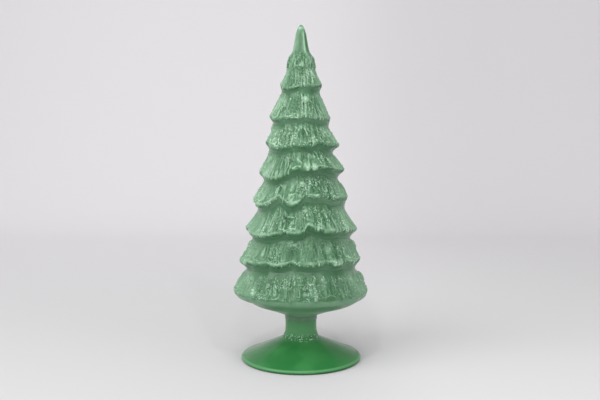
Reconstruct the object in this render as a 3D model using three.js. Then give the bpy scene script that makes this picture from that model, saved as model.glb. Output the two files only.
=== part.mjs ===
// Glass Christmas tree figurine: a hollow mould-blown tree, fused to a neck ring, a stem and a domed foot.
// Millimetres, +Z up. The origin is the centre of the flat ring that the foot rests on. The front faces -Y.
import * as THREE from "three";

const degrees = THREE.MathUtils.degToRad;

// Heights of the stack, from the table up
const footTop = 17;
const stemTop = 29;
const neckTop = 32.4;
const overallHeight = 240;

// Foot: a dome with a rolled rim, hollow underneath, that stands on a ground flat ring
const footRadius = 43.4;
const footRimThickness = 3;
const footSlope = degrees(24);
const footWall = 3.5;
const footFillet = 3;
const restInner = 38.4;
const restOuter = 41.8;
const restLift = 0.9;

// Stem, neck ring and the blow hole that runs up through them
const boreRadius = 6;
const boreBevel = 1;
const stemRadius = 11.3;
const stemFlare = 1.1;
const stemFlareShare = 0.8;
const neckRadius = 11.6;
const neckBulge = 0.3;

// Tree. Each tier of boughs flares out to a rounded lip, and the lips lie on one straight taper. Under a lip
// the glass is tucked in to a waist, which drops below the lip by a least amount and a share of the radius
// at the sides, and by less at the front and back.
const widestLip = { z: 49.5, radius: 48.7 };
const lipTaper = 0.2167;
const waistDrop = { least: 4.2, share: 0.07, lessInFront: 0.35 };

// Lobes: how far in the lip goes at a notch, as a share of the radius, how round the lobes are, and how much
// of the lip's rise its waist follows. Round the back the lobes are even.
const notchDepth = 0.035;
const lobeRound = 0.6;
const waistFollow = 0.8;
const backLobe = { rise: 1.4, sag: 2.8, change: 0.8 };

// Fingers of needles that run down every flare: how many there are in a turn, and the valleys between them,
// their depth as a share of the lip's radius, how much of it is left at the lip, and how uneven they are
const fingers = { count: 32, depth: 0.03, atLip: 0.35, uneven: 0.35, beat: 2.3 };

// Knobs on the flares: degrees to the right, height, how far round it each reaches and how far it stands out
const knobs = [
  { turn: 86, z: 61.5, reach: 5.5, stand: 2.2 },
  { turn: -87, z: 83.5, reach: 5, stand: 2 },
  { turn: 87, z: 83.5, reach: 5, stand: 2 },
  { turn: -88, z: 168, reach: 4, stand: 1.4 },
  { turn: 11, z: 186.4, reach: 3.6, stand: 1.4 },
];

// The share of the way that the glass takes to turn at a waist and at a lip, on the tuck and on the flare
const tuckTurns = { waist: 0.3, lip: 0.3 };
const flareTurns = { waist: 0.16, lip: 0.1 };

// Tiers from the bottom up. lip is the lip's height at the sides, stand how far it stands off the taper,
// swing how far the tier has slipped to the right, tuck how far in the waist under it goes, and bell how
// hollow its flare is. Its lobes hang between notches like swags: [where the notch is in degrees to the
// right, how far the lip rises there, how deep the lobe after it sags]. From the last notch of the list, the
// back lobes go on round to the first.
const tiers = [
  {
    lip: 50.6, stand: 0.25, swing: -0.25, tuck: 0, bell: 0.75, back: 6,
    lobes: [
      [-100, 1.2, 1.4], [-42, 1.8, 1.6], [-28, 1.6, 1.3], [-8, 1.6, 1.2], [12, 2.6, 2.3], [36, 2.4, 2.2],
      [66, 1.6, 1.2], [95, 1, 0],
    ],
  },
  {
    lip: 73.3, stand: 0.3, swing: -0.7, tuck: 4.7, bell: 1, back: 6,
    lobes: [
      [-88, 0.6, 1.2], [-60, 0.6, 0.5], [-33, 1.6, 1.8], [-9, 3.2, 1.6], [24, 3, 1], [46, 2.6, 0.9],
      [75, 1.2, 0.4], [95, 0.4, 0],
    ],
  },
  {
    lip: 95, stand: 1.95, swing: 0.45, tuck: 5.5, bell: 1.2, back: 5,
    lobes: [
      [-104, 0.9, 0.2], [-80, 1, 3.6], [-17, 1.8, 1.1], [3, 1.6, 0], [6.5, 7, 2.5], [46, 2.6, 0.8],
      [85, 1, 0],
    ],
  },
  {
    lip: 117, stand: 0.2, swing: -0.5, tuck: 2.9, bell: 1, back: 5,
    lobes: [[-82, 0, 5.8], [-27, 4, 7.2], [5, 4.8, 1.3], [29, 4.2, 1.7], [58, 1.6, 0.4], [100, 1.4, 0]],
  },
  {
    lip: 136.9, stand: 1.05, swing: 0.7, tuck: 4.3, bell: 1.15, back: 5,
    lobes: [
      [-75, 0, 4.9], [-15, 0, -1.2], [5, 1.3, 0], [12, 2.7, 0.5], [25, 3.5, 0.1], [66, 0.6, 0],
      [100, 1.3, 0],
    ],
  },
  {
    lip: 157, stand: 0.9, swing: 0.9, tuck: 3.5, bell: 1, back: 5,
    lobes: [[-95, 0.2, 0], [-78, 0, 3.4], [-12, -1.6, 0.4], [20, -2.6, 0], [30, 0.3, 2.2], [75, -0.8, 0]],
  },
  {
    lip: 175, stand: 0.4, swing: -0.8, tuck: 2.3, bell: 1, back: 5,
    lobes: [[-100, 0.6, 0.2], [-78, 0.4, 2], [-36, -1, 0.3], [0, -1.2, 0], [6, 0.4, 1.4], [75, -0.4, 0]],
  },
  {
    lip: 199.2, stand: -0.75, swing: 0.2, tuck: 1.9, bell: 1.1, back: 4,
    lobes: [[-96, 0, 0.3], [-80, -0.6, 3.7], [5, -2.4, 1.3], [80, -0.8, 0]],
  },
];
const shoulderFoot = { radius: 10.1, z: 209 };

// Smooth outlines as [radius, z] points from the bottom up: from the neck out to the lowest lip, where the
// underside has slipped to the right, and from the shoulder over the top tier up the spire
const undersideOutline = [[neckRadius, neckTop], [24.3, 37.3], [35.9, 41.3], [42.4, 45.4]];
const undersideSwing = 1.9;
const spireOutline = [[10, 210.5], [9.9, 213.3], [9.4, 216], [6.8, 220.6], [5.4, 224.6], [3.8, 233]];
const tipLength = 3.8;
const tipRadius = 2.6;

// The hollow in the tree: a cone that keeps about 3 mm of glass inside the waists, with a rounded floor
const hollowCone = { radius: 36.5, z: 65.3, taper: 0.1972 };
const hollowTop = { z: 216, round: 2, radius: 3 };
const hollowShoulder = { radius: 6.8, z: 204 };
const hollowConeHeights = [188, 120, 54];
const hollowFloor = [[36, 45], [24, 40.7], [10, 37.4]];
const boreTop = 35.4;

const bodySegments = 64;
const footSegments = 48;
const tuckRows = [0.25, 0.85, 1];
const flareRows = [0.94, 0.7, 0.4, 0.14, 0];
const undersideSteps = 5;
const spireSteps = 7;

// A closed surface of one turn. profileAt(angle) gives [radius, z] points in order, with the glass on their
// left, and the last point joins the first. A point of radius 0 stays one vertex on the axis.
function turned(profileAt, segments) {
  const columns = Array.from({ length: segments }, (_, i) => profileAt((i / segments) * 2 * Math.PI));
  const rows = columns[0].length;
  const positions = [];
  const vertexOf = columns[0].map(([firstRadius], row) => {
    const onAxis = firstRadius === 0;
    const start = positions.length / 3;
    columns.slice(0, onAxis ? 1 : segments).forEach((column, i) => {
      const angle = (i / segments) * 2 * Math.PI;
      const [radius, z] = column[row];
      positions.push(radius * Math.sin(angle), -radius * Math.cos(angle), z);
    });
    return (i) => (onAxis ? start : start + (i % segments));
  });
  const faces = [];
  const addFace = (a, b, c) => {
    if (a !== b && b !== c && c !== a) faces.push(a, b, c);
  };
  for (let row = 0; row < rows; row++) {
    const lower = vertexOf[row];
    const upper = vertexOf[(row + 1) % rows];
    for (let i = 0; i < segments; i++) {
      addFace(lower(i), lower(i + 1), upper(i + 1));
      addFace(lower(i), upper(i + 1), upper(i));
    }
  }
  const geometry = new THREE.BufferGeometry();
  geometry.setAttribute("position", new THREE.Float32BufferAttribute(positions, 3));
  geometry.setIndex(faces);
  geometry.computeVertexNormals();
  return geometry;
}

// Points on an arc of an ellipse, from one angle to the other, in degrees from the +radius direction
function arc(centreRadius, centreZ, halfWidth, halfHeight, from, to, steps) {
  return Array.from({ length: steps + 1 }, (_, i) => {
    const angle = degrees(from + ((to - from) * i) / steps);
    return [centreRadius + halfWidth * Math.cos(angle), centreZ + halfHeight * Math.sin(angle)];
  });
}

// Evenly spaced points on a smooth curve through an outline
function smooth(outline, steps) {
  const curve = new THREE.SplineCurve(outline.map(([radius, z]) => new THREE.Vector2(radius, z)));
  return curve.getPoints(steps).map(({ x, y }) => [x, y]);
}

function makeFoot() {
  const rimHalf = footRimThickness / 2;
  const domeStart = stemRadius + stemFlare;
  const domeTop = footTop - footFillet * 0.8;
  const domeAt = (radius) => [radius, domeTop - (radius - domeStart - footFillet) * Math.tan(footSlope)];
  const [roofRadius, roofZ] = domeAt(boreRadius + 2 * footWall);
  const profile = [
    [restOuter, 0],
    ...arc(restOuter, rimHalf, footRadius - restOuter, rimHalf, -60, 70, 4),
    ...[0.93, 0.75, 0.5].map((share) => domeAt(footRadius * share)),
    domeAt(domeStart + footFillet),
    [domeStart + footFillet * 0.3, footTop - footFillet * 0.4],
    [domeStart, footTop],
    [boreRadius, footTop],
    [boreRadius, roofZ - footWall + boreBevel],
    [roofRadius, roofZ - footWall],
    [restInner - restLift, restLift],
    [restInner, 0],
  ];
  return turned(() => profile, footSegments);
}

// The stem: a short thick tube that spreads a little where it meets the foot
function makeStem() {
  const spread = [0, 0.15, 0.4, stemFlareShare].map((share) => [
    stemRadius + stemFlare * (1 - share / stemFlareShare) ** 2,
    footTop + (stemTop - footTop) * share,
  ]);
  const profile = [...spread, [stemRadius, stemTop], [boreRadius, stemTop], [boreRadius, footTop]];
  return turned(() => profile, footSegments);
}

// The neck ring: the rounded collar of glass between the stem and the tree
function makeNeckRing() {
  const half = (neckTop - stemTop) / 2;
  const profile = [
    [stemRadius, stemTop],
    ...arc(neckRadius - neckBulge, stemTop + half, neckBulge * 2, half, -70, 70, 4),
    [neckRadius, neckTop],
    [boreRadius, neckTop],
    [boreRadius, stemTop],
  ];
  return turned(() => profile, footSegments);
}

const lipRadius = (tier) => widestLip.radius - (tier.lip - widestLip.z) * lipTaper + tier.stand;

// The notches of a tier all the way round, the listed ones and then the even ones of the back
function notchesOf(tier) {
  const listed = tier.lobes.slice(0, -1);
  const [backStart, startRise] = tier.lobes[tier.lobes.length - 1];
  const backSpan = 360 + tier.lobes[0][0] - backStart;
  const back = Array.from({ length: tier.back }, (_, i) => [
    backStart + (backSpan * i) / tier.back,
    i === 0 ? startRise : backLobe.rise,
    backLobe.sag + (i % 2 ? backLobe.change : -backLobe.change),
  ]);
  return [...listed, ...back];
}

// How far the lip rises at an angle, and how far out into a lobe the angle is: 0 at a notch, 1 in the middle
function lobeAt(tier, angle) {
  const notches = notchesOf(tier);
  const [first] = notches[0];
  const turn = first + THREE.MathUtils.euclideanModulo(THREE.MathUtils.radToDeg(angle) - first, 360);
  const index = notches.findLastIndex(([at]) => at <= turn);
  const [at, rise, sag] = notches[index];
  const [nextAt, nextRise] = notches[index + 1] ?? [first + 360, notches[0][1]];
  const share = (turn - at) / (nextAt - at);
  const swag = 4 * share * (1 - share);
  return { rise: THREE.MathUtils.lerp(rise, nextRise, share) - sag * swag, bulge: swag ** lobeRound };
}

function lipAt(tier, angle) {
  const { rise, bulge } = lobeAt(tier, angle);
  const radius = lipRadius(tier) * (1 - notchDepth * (1 - bulge)) + tier.swing * Math.sin(angle);
  return { radius, z: tier.lip + rise };
}

// How far the glass goes in between two fingers of needles, at a share of the way down the flare
function valleyAt(tier, angle, share) {
  const across = (angle / (2 * Math.PI)) * fingers.count;
  const inValley = (1 - Math.cos(across * 2 * Math.PI)) / 2;
  const uneven = 1 + fingers.uneven * Math.sin(across * fingers.beat + tier.lip);
  const along = share === 1 ? fingers.atLip : Math.sin(Math.PI * share ** 1.3);
  return lipRadius(tier) * fingers.depth * inValley * uneven * along;
}

// How far the glass stands out at the knobs
function knobAt(radius, z, angle) {
  return knobs.reduce((lift, knob) => {
    const turn = Math.atan2(Math.sin(angle - degrees(knob.turn)), Math.cos(angle - degrees(knob.turn)));
    const away = Math.hypot(turn * radius, z - knob.z) / knob.reach;
    return lift + knob.stand * Math.max(0, 1 - away ** 2);
  }, 0);
}

function waistAt(tier, angle) {
  const full = lipRadius(tier);
  const shorter = 1 - waistDrop.lessInFront * Math.cos(angle) ** 2;
  const drop = (waistDrop.least + full * waistDrop.share) * shorter;
  return { radius: full - tier.tuck, z: tier.lip - drop + lobeAt(tier, angle).rise * waistFollow };
}

const between = (from, to, radiusShare, heightShare) => [
  THREE.MathUtils.lerp(from.radius, to.radius, radiusShare),
  THREE.MathUtils.lerp(from.z, to.z, heightShare),
];

// Rises from 0 to 1 in a straight line, with a soft turn at each end
function softLine(share, turns) {
  const start = Math.max(0, turns.waist - share) ** 2 / (2 * turns.waist);
  const end = Math.max(0, share - (1 - turns.lip)) ** 2 / (2 * turns.lip);
  return (share - turns.waist / 2 + start - end) / (1 - (turns.waist + turns.lip) / 2);
}

// The outside of a tier at one angle: out from the waist below to the lip, and up the flare to the waist
// above. The lowest tier has no waist below it: there the glass rounds up from the underside.
function tierProfile(tier, below, above, angle) {
  const lip = lipAt(tier, angle);
  lip.radius -= valleyAt(tier, angle, 1);
  const tucked = tuckRows.map((share) => {
    const turn = (share * Math.PI) / 2;
    return tier === tiers[0]
      ? between(below, lip, Math.sin(turn), 1 - Math.cos(turn))
      : between(below, lip, softLine(share, tuckTurns), share);
  });
  const flare = flareRows.map((share) => {
    const [radius, z] = between(above, lip, softLine(share ** tier.bell, flareTurns), share);
    return [radius - valleyAt(tier, angle, share) + knobAt(radius, z, angle), z];
  });
  return [...tucked, ...flare];
}

// The tree: lobed tiers outside, the cone-shaped hollow inside, open down through the neck
function makeTreeBody() {
  const underside = smooth(undersideOutline, undersideSteps);
  const [endRadius, endZ] = undersideOutline[undersideOutline.length - 1];
  const slipped = (radius, angle) => {
    const share = (radius - neckRadius) / (endRadius - neckRadius);
    return radius + undersideSwing * share * Math.sin(angle);
  };
  const spire = smooth(spireOutline, spireSteps);
  const tip = arc(0, overallHeight - tipLength, tipRadius, tipLength, 15, 60, 1);

  const coneRadius = (z) => hollowCone.radius - (z - hollowCone.z) * hollowCone.taper;
  const hollow = [
    [0, hollowTop.z],
    [hollowTop.radius, hollowTop.z - hollowTop.round],
    [hollowShoulder.radius, hollowShoulder.z],
    ...hollowConeHeights.map((z) => [coneRadius(z), z]),
    ...hollowFloor,
    [boreRadius, boreTop],
    [boreRadius, neckTop],
  ];
  return turned((angle) => {
    const undersideEnd = { radius: slipped(endRadius, angle), z: endZ };
    const boughs = tiers.flatMap((tier, i) => {
      const below = i > 0 ? waistAt(tier, angle) : undersideEnd;
      const above = i + 1 < tiers.length ? waistAt(tiers[i + 1], angle) : shoulderFoot;
      return tierProfile(tier, below, above, angle);
    });
    const bottom = underside.map(([radius, z]) => [slipped(radius, angle), z]);
    return [...bottom, ...boughs, ...spire, ...tip, [0, overallHeight], ...hollow];
  }, bodySegments);
}

const treeGlass = new THREE.MeshStandardMaterial({ color: 0x7bab84, roughness: 0.25, metalness: 0 });
const footGlass = new THREE.MeshStandardMaterial({ color: 0x3f8a4d, roughness: 0.12, metalness: 0 });

const figurine = new THREE.Group();

function addPiece(name, geometry, material) {
  const mesh = new THREE.Mesh(geometry, material);
  mesh.name = name;
  figurine.add(mesh);
}

addPiece("tree_body", makeTreeBody(), treeGlass);
addPiece("neck_ring", makeNeckRing(), treeGlass);
addPiece("stem", makeStem(), footGlass);
addPiece("foot", makeFoot(), footGlass);

export default figurine;
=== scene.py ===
# Glass Christmas tree figurine: the finish of every surface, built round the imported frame.
# Metres, +Z up, the front faces -Y. Sizes in the settings are millimetres and degrees.
import math
from functools import partialmethod
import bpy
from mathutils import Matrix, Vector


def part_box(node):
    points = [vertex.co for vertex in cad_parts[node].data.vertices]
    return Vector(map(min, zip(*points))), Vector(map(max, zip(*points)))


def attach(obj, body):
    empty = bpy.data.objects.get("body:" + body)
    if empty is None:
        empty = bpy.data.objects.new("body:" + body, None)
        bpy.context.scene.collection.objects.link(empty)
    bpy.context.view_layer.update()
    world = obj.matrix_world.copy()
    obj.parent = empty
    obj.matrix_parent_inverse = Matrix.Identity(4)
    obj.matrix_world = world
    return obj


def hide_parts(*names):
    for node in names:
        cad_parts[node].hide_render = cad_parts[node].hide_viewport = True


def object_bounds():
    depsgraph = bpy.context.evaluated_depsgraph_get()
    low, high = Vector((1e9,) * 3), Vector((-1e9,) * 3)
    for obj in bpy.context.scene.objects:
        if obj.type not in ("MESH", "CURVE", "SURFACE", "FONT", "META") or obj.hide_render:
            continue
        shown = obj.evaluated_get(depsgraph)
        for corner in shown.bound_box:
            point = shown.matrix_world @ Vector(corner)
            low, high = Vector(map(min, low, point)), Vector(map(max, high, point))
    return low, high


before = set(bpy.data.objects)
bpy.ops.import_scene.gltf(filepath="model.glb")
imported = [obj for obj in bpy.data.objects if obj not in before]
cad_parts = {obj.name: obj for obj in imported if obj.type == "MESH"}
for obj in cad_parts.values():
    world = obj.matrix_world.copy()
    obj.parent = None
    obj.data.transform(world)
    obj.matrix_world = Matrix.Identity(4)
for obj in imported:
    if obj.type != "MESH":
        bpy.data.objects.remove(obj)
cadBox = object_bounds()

from types import SimpleNamespace

import bpy
from mathutils import Vector, noise

mm = 0.001
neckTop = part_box("neck_ring")[1].z / mm
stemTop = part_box("stem")[1].z / mm
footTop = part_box("foot")[1].z / mm
overallHeight = cadBox[1].z / mm


def srgb(red, green, blue, alpha=1):  # 0 to 255 as a picture editor shows it, turned to linear values
    def linear(channel):
        share = channel / 255
        return share / 12.92 if share <= 0.04045 else ((share + 0.055) / 1.055) ** 2.4
    return (linear(red), linear(green), linear(blue), alpha)


def clamp01(value):
    return max(0.0, min(1.0, value))


def smoothStep(low, high, value):
    share = clamp01((value - low) / (high - low))
    return share * share * (3 - 2 * share)


# A number that flows through a node tree, so that the formulas below read as formulas
class Flow:
    def __init__(self, tree, socket):
        self.tree = tree
        self.socket = socket

    def math(self, operation, *others, clamp=False):
        node = self.tree.nodes.new("ShaderNodeMath")
        node.operation = operation
        node.use_clamp = clamp
        for socket, value in zip(node.inputs, (self, *others)):
            plug(self.tree, value, socket)
        return Flow(self.tree, node.outputs[0])

    __add__ = __radd__ = partialmethod(math, "ADD")
    __sub__ = partialmethod(math, "SUBTRACT")
    __mul__ = __rmul__ = partialmethod(math, "MULTIPLY")
    __truediv__ = partialmethod(math, "DIVIDE")
    __pow__ = partialmethod(math, "POWER")
    sin = partialmethod(math, "SINE")
    cos = partialmethod(math, "COSINE")
    size = partialmethod(math, "ABSOLUTE")
    clamped = partialmethod(math, "ADD", 0.0, clamp=True)

    def __rsub__(self, other):
        return (self * -1) + other

    def near(self, middle, steepness):  # 1 at the middle, and straight down to 0 on both sides
        return (1 - ((self - middle) * steepness).size()).clamped()

    def rise(self, low, high):  # 0 below low, 1 above high, eased between them
        node = self.tree.nodes.new("ShaderNodeMapRange")
        node.interpolation_type = "SMOOTHSTEP"
        plug(self.tree, self, node.inputs["Value"])
        plug(self.tree, low, node.inputs["From Min"])
        plug(self.tree, high, node.inputs["From Max"])
        return Flow(self.tree, node.outputs[0])


def plug(tree, value, socket):
    if isinstance(value, Flow):
        tree.links.new(value.socket, socket)
    elif hasattr(value, "is_output"):
        tree.links.new(value, socket)
    else:
        socket.default_value = value


def plugAll(tree, node, inputs):
    for name, value in inputs.items():
        plug(tree, value, node.inputs[name])


def addNode(tree, kind, inputs=None, **settings):
    node = tree.nodes.new(kind)
    for name, value in settings.items():
        setattr(node, name, value)
    plugAll(tree, node, inputs or {})
    return node


def aboveZero(value):  # at least 0, for a number or one that flows
    return value.math("MAXIMUM", 0.0) if isinstance(value, Flow) else max(0.0, value)


def vectorOf(tree, x, y, z):
    return addNode(tree, "ShaderNodeCombineXYZ", {"X": x, "Y": y, "Z": z}).outputs[0]


def noiseOf(tree, vector, scale, detail=0.0):
    node = addNode(tree, "ShaderNodeTexNoise", {"Vector": vector, "Scale": scale, "Detail": detail})
    return Flow(tree, node.outputs[0])


def partsOf(tree, vector):  # x, y and z
    parts = addNode(tree, "ShaderNodeSeparateXYZ", {"Vector": vector})
    return [Flow(tree, socket) for socket in parts.outputs]


def blend(tree, share, first, second):  # a colour on the way from the first to the second
    mix = addNode(tree, "ShaderNodeMix", {"Factor": share, "A": first, "B": second}, data_type="RGBA")
    return mix.outputs["Result"]


def startMaterial(name):  # the material, its node tree and its shader
    material = bpy.data.materials.new(name)
    material.use_nodes = True
    return material, material.node_tree, material.node_tree.nodes["Principled BSDF"]


def addObject(name, data):
    item = bpy.data.objects.new(name, data)
    bpy.context.scene.collection.objects.link(item)
    return item


def meshOf(name, vertices, faces, material=None, **fields):  # each field has a value for every vertex
    mesh = bpy.data.meshes.new(name)
    mesh.from_pydata(vertices, [], faces)
    for label, values in fields.items():
        mesh.attributes.new(label, "FLOAT", "POINT").data.foreach_set("value", values)
    if material:
        mesh.shade_smooth()
        mesh.materials.append(material)
    return mesh


# Camera, where the photograph was taken from
cameraView = {
    "lens": 43.27, "distance": 519, "height": 152, "sideways": -0.7, "lookDown": 4.03,
}


def makeCamera(view):
    data = bpy.data.cameras.new("camera")
    data.lens = view["lens"]
    data.sensor_width = 36
    camera = addObject("camera", data)
    camera.location = Vector((view["sideways"], -view["distance"], view["height"])) * mm
    camera.rotation_euler = (math.radians(90 - view["lookDown"]), 0, 0)
    bpy.context.scene.camera = camera


# Studio: a pale sweep and surround, a large soft key at the upper left, a fill at the right, a soft top light
# and three small lamps that the sparkles show. The sweep carries painted light: a painted shadow on the wall
# at the right, a floor painted darker than the wall, and painted light on the floor at the right
studio = {
    "wallColour": srgb(240, 238, 241), "wallPaintedShadow": srgb(231, 229, 231), "floorColour": srgb(204, 203, 204),
    "floorPaintedLight": srgb(213, 212, 213), "sweepFront": -1500, "sweepDepth": 700, "sweepBend": 350,
    "sweepWidth": 2600, "sweepHeight": 1300, "bendSteps": 12, "surround": 0.54,
}
lamps = [
    {"name": "key", "at": (-700, -500, 700), "size": 900, "watts": 6.0},
    {"name": "fill", "at": (760, -520, 420), "size": 600, "watts": 0.9},
    {"name": "top", "at": (0, -260, 1050), "size": 500, "watts": 2.0},
    {"name": "sparkleLeft", "at": (-160, -520, 820), "size": 50, "watts": 0.8},
    {"name": "sparkleMiddle", "at": (40, -820, 520), "size": 50, "watts": 0.8},
    {"name": "sparkleRight", "at": (240, -620, 640), "size": 50, "watts": 0.7},
]


def makeSurround():
    world = bpy.data.worlds.new("studio")
    bpy.context.scene.world = world
    world.use_nodes = True
    tree = world.node_tree
    plugAll(tree, tree.nodes["Background"], {"Color": (1, 1, 1, 1), "Strength": studio["surround"]})


def makeLamps():
    target = Vector((0, 0, overallHeight / 2)) * mm
    for lamp in lamps:
        data = bpy.data.lights.new(lamp["name"], "AREA")
        data.shape = "DISK"
        data.size = lamp["size"] * mm
        data.energy = lamp["watts"]
        light = addObject(lamp["name"], data)
        light.location = Vector(lamp["at"]) * mm
        light.rotation_euler = (target - light.location).to_track_quat("-Z", "Y").to_euler()


def makeSweepPaper():
    paper, tree, shader = startMaterial("sweepPaper")
    across, depth, _ = partsOf(tree, addNode(tree, "ShaderNodeTexCoord").outputs["Object"])
    # Painted shadow on the wall at the right of the tree, painted light on the floor at the right, and the
    # floor painted darker than the wall
    paintedShadow = across.rise(0.0, 0.25) * (1 - across.rise(0.3, 0.7) * 0.7)
    wall = blend(tree, paintedShadow, studio["wallColour"], studio["wallPaintedShadow"])
    ground = blend(tree, across.rise(0.0, 0.1), studio["floorColour"], studio["floorPaintedLight"])
    plug(tree, blend(tree, depth.rise(0.0, 0.9), ground, wall), shader.inputs["Base Color"])
    shader.inputs["Roughness"].default_value = 0.9
    return paper


# The sweep's outline runs back along the floor, round a bend and up the wall
def makeSweep():
    bend, steps = studio["sweepBend"], studio["bendSteps"]
    outline = [(studio["sweepFront"], 0), (studio["sweepDepth"], 0)]
    for step in range(1, steps + 1):
        turn = math.radians(step * 90 / steps)
        outline.append((studio["sweepDepth"] + bend * math.sin(turn), bend * (1 - math.cos(turn))))
    outline.append((studio["sweepDepth"] + bend, studio["sweepHeight"]))
    half = studio["sweepWidth"] / 2
    vertices = [(side * mm, y * mm, z * mm) for y, z in outline for side in (-half, half)]
    faces = [(2 * i, 2 * i + 1, 2 * i + 3, 2 * i + 2) for i in range(len(outline) - 1)]
    mesh = meshOf("sweep", vertices, faces, makeSweepPaper())
    addObject("sweep", mesh)


# Milky green glass of the tree: paler where the relief is high and thin, with painted highlights on the
# crests, and deeper in its hollows, partly its own deeper colour and partly painted shade
treeGlass = {
    "hollow": srgb(55, 107, 68), "face": srgb(107, 151, 117), "crest": srgb(172, 208, 178),
    "cloudScale": 70.0, "roughSmooth": 0.3, "roughWrinkled": 0.07, "bumpSmooth": 0.1, "bumpWrinkled": 1.0,
    "grainScale": 850.0, "sheen": 0.55,
    "glow": 0.35,  # how far light spreads inside the milky glass, as a weight, by colour and in metres
    "glowColours": (0.6, 1.0, 0.7), "glowReach": 0.004,
}
# Painted highlights for the sparkles of the wrinkled glass: small glints in patches, fewer on the two upper
# tiers
paintedSparkle = {
    "colour": srgb(205, 236, 212), "glintScale": 900.0, "glints": (0.59, 0.66), "patchScale": 60.0,
    "patches": (0.43, 0.6),
    "upperTiers": (0.16, 0.185),  # metres up
    "fewerThere": 0.45,
}
# Deeper green glass of the stem and foot, with its places in metres, and with a painted highlight and a
# painted shadow along the rim, painted shade at the right and painted glints at the joint
footGlass = {
    "deep": srgb(45, 117, 60), "pale": srgb(60, 131, 72), "milky": srgb(85, 148, 96),
    "rimPaintedHighlight": srgb(86, 147, 96), "rimPaintedShadow": srgb(34, 88, 48), "cloudScale": 45.0,
    "rightSide": (0.006, 0.026), "milkyFrom": (0.012, 0.022), "rimStarts": (0.0417, 0.0427),
    "rimUpperEdge": (0.0012, 0.0022), "rimLowerEdge": (0.0004, 0.0012), "jointStarts": (0.0145, 0.0165),
    "jointEnds": (0.018, 0.0205), "jointGlints": (0.6, 0.7), "jointGrainScale": 700.0, "roughness": 0.22,
    "sheen": 0.3,
}
bumpDepth = 0.0015  # metres
glassIor = 1.5


def bumpBy(tree, strength, place, grainScale):  # the fine grain of wrinkled glass
    bump = addNode(tree, "ShaderNodeBump", {
        "Strength": strength, "Distance": bumpDepth, "Height": noiseOf(tree, place, grainScale, detail=1.0),
    })
    return bump.outputs["Normal"]


def makeTreeGlass():
    form = treeGlass
    material, tree, shader = startMaterial("milkyGreenGlass")
    painted = (
        addNode(tree, "ShaderNodeAttribute", attribute_name=name, attribute_type="GEOMETRY")
        for name in ("relief", "hollow", "wrinkle")
    )
    relief, hollow, wrinkle = (Flow(tree, node.outputs["Fac"]) for node in painted)
    place = addNode(tree, "ShaderNodeTexCoord").outputs["Object"]
    cloud = noiseOf(tree, place, form["cloudScale"], detail=3.0)
    # The hollows' deeper colour is partly painted shade, and the crests' pale colour partly a painted
    # highlight
    deep = (hollow * (1 - relief * 0.75) + (cloud - 0.5) * 0.7).clamped()
    ground = blend(tree, deep, form["face"], form["hollow"])
    body = blend(tree, (relief * 0.9 + (cloud - 0.5) * 0.3).clamped(), ground, form["crest"])

    # Painted highlights: pale glints in patches over the wrinkled glass, fewer on the upper tiers and in the
    # hollows
    glints = noiseOf(tree, place, paintedSparkle["glintScale"], detail=0.5).rise(*paintedSparkle["glints"])
    glints *= noiseOf(tree, place, paintedSparkle["patchScale"]).rise(*paintedSparkle["patches"])
    upper = partsOf(tree, place)[2].rise(*paintedSparkle["upperTiers"])
    glints *= 1 - upper * paintedSparkle["fewerThere"]
    glints = (glints * wrinkle * (1 - deep * 0.5)).clamped()

    def byWrinkle(smooth, wrinkled):
        return wrinkle * (form[wrinkled] - form[smooth]) + form[smooth]
    plugAll(tree, shader, {
        "Base Color": blend(tree, glints, body, paintedSparkle["colour"]),
        "Subsurface Weight": form["glow"],
        "Subsurface Radius": form["glowColours"],
        "Subsurface Scale": form["glowReach"],
        "Normal": bumpBy(tree, byWrinkle("bumpSmooth", "bumpWrinkled"), place, form["grainScale"]),
        "Roughness": byWrinkle("roughSmooth", "roughWrinkled"),
        "Specular IOR Level": form["sheen"],
        "IOR": glassIor,
    })
    return material


def makeFootGlass():
    form = footGlass
    material, tree, shader = startMaterial("deepGreenGlass")
    place = addNode(tree, "ShaderNodeTexCoord").outputs["Object"]
    across, depth, level = partsOf(tree, place)
    # The gather is unevenly deep in colour, and painted deeper at the right as painted shade
    paintedShadeRight = across.rise(*form["rightSide"])
    cloud = noiseOf(tree, place, form["cloudScale"], detail=2.0).rise(0.35, 0.65)
    body = blend(tree, cloud * (1 - paintedShadeRight * 0.7), form["deep"], form["pale"])
    # The stem turns milky towards the tree
    body = blend(tree, level.rise(*form["milkyFrom"]), body, form["milky"])
    # Along the rolled rim: a painted highlight on its upper edge and a painted shadow below
    outer = ((across * across + depth * depth) ** 0.5).rise(*form["rimStarts"])
    body = blend(tree, outer * level.rise(*form["rimUpperEdge"]), body, form["rimPaintedHighlight"])
    body = blend(tree, 1 - level.rise(*form["rimLowerEdge"]), body, form["rimPaintedShadow"])
    # Where the foot and the stem were joined hot, the glass is wrinkled, with painted glints for its sparkles
    joint = level.rise(*form["jointStarts"]) * (1 - level.rise(*form["jointEnds"]))
    glints = noiseOf(tree, place, paintedSparkle["glintScale"], detail=0.5).rise(*form["jointGlints"])
    plugAll(tree, shader, {
        "Base Color": blend(tree, joint * glints * 0.8, body, paintedSparkle["colour"]),
        "Normal": bumpBy(tree, joint, place, form["jointGrainScale"]),
        "Roughness": form["roughness"],
        "Specular IOR Level": (1 - paintedShadeRight * 0.6) * form["sheen"],
        "IOR": glassIor,
    })
    return material


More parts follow.
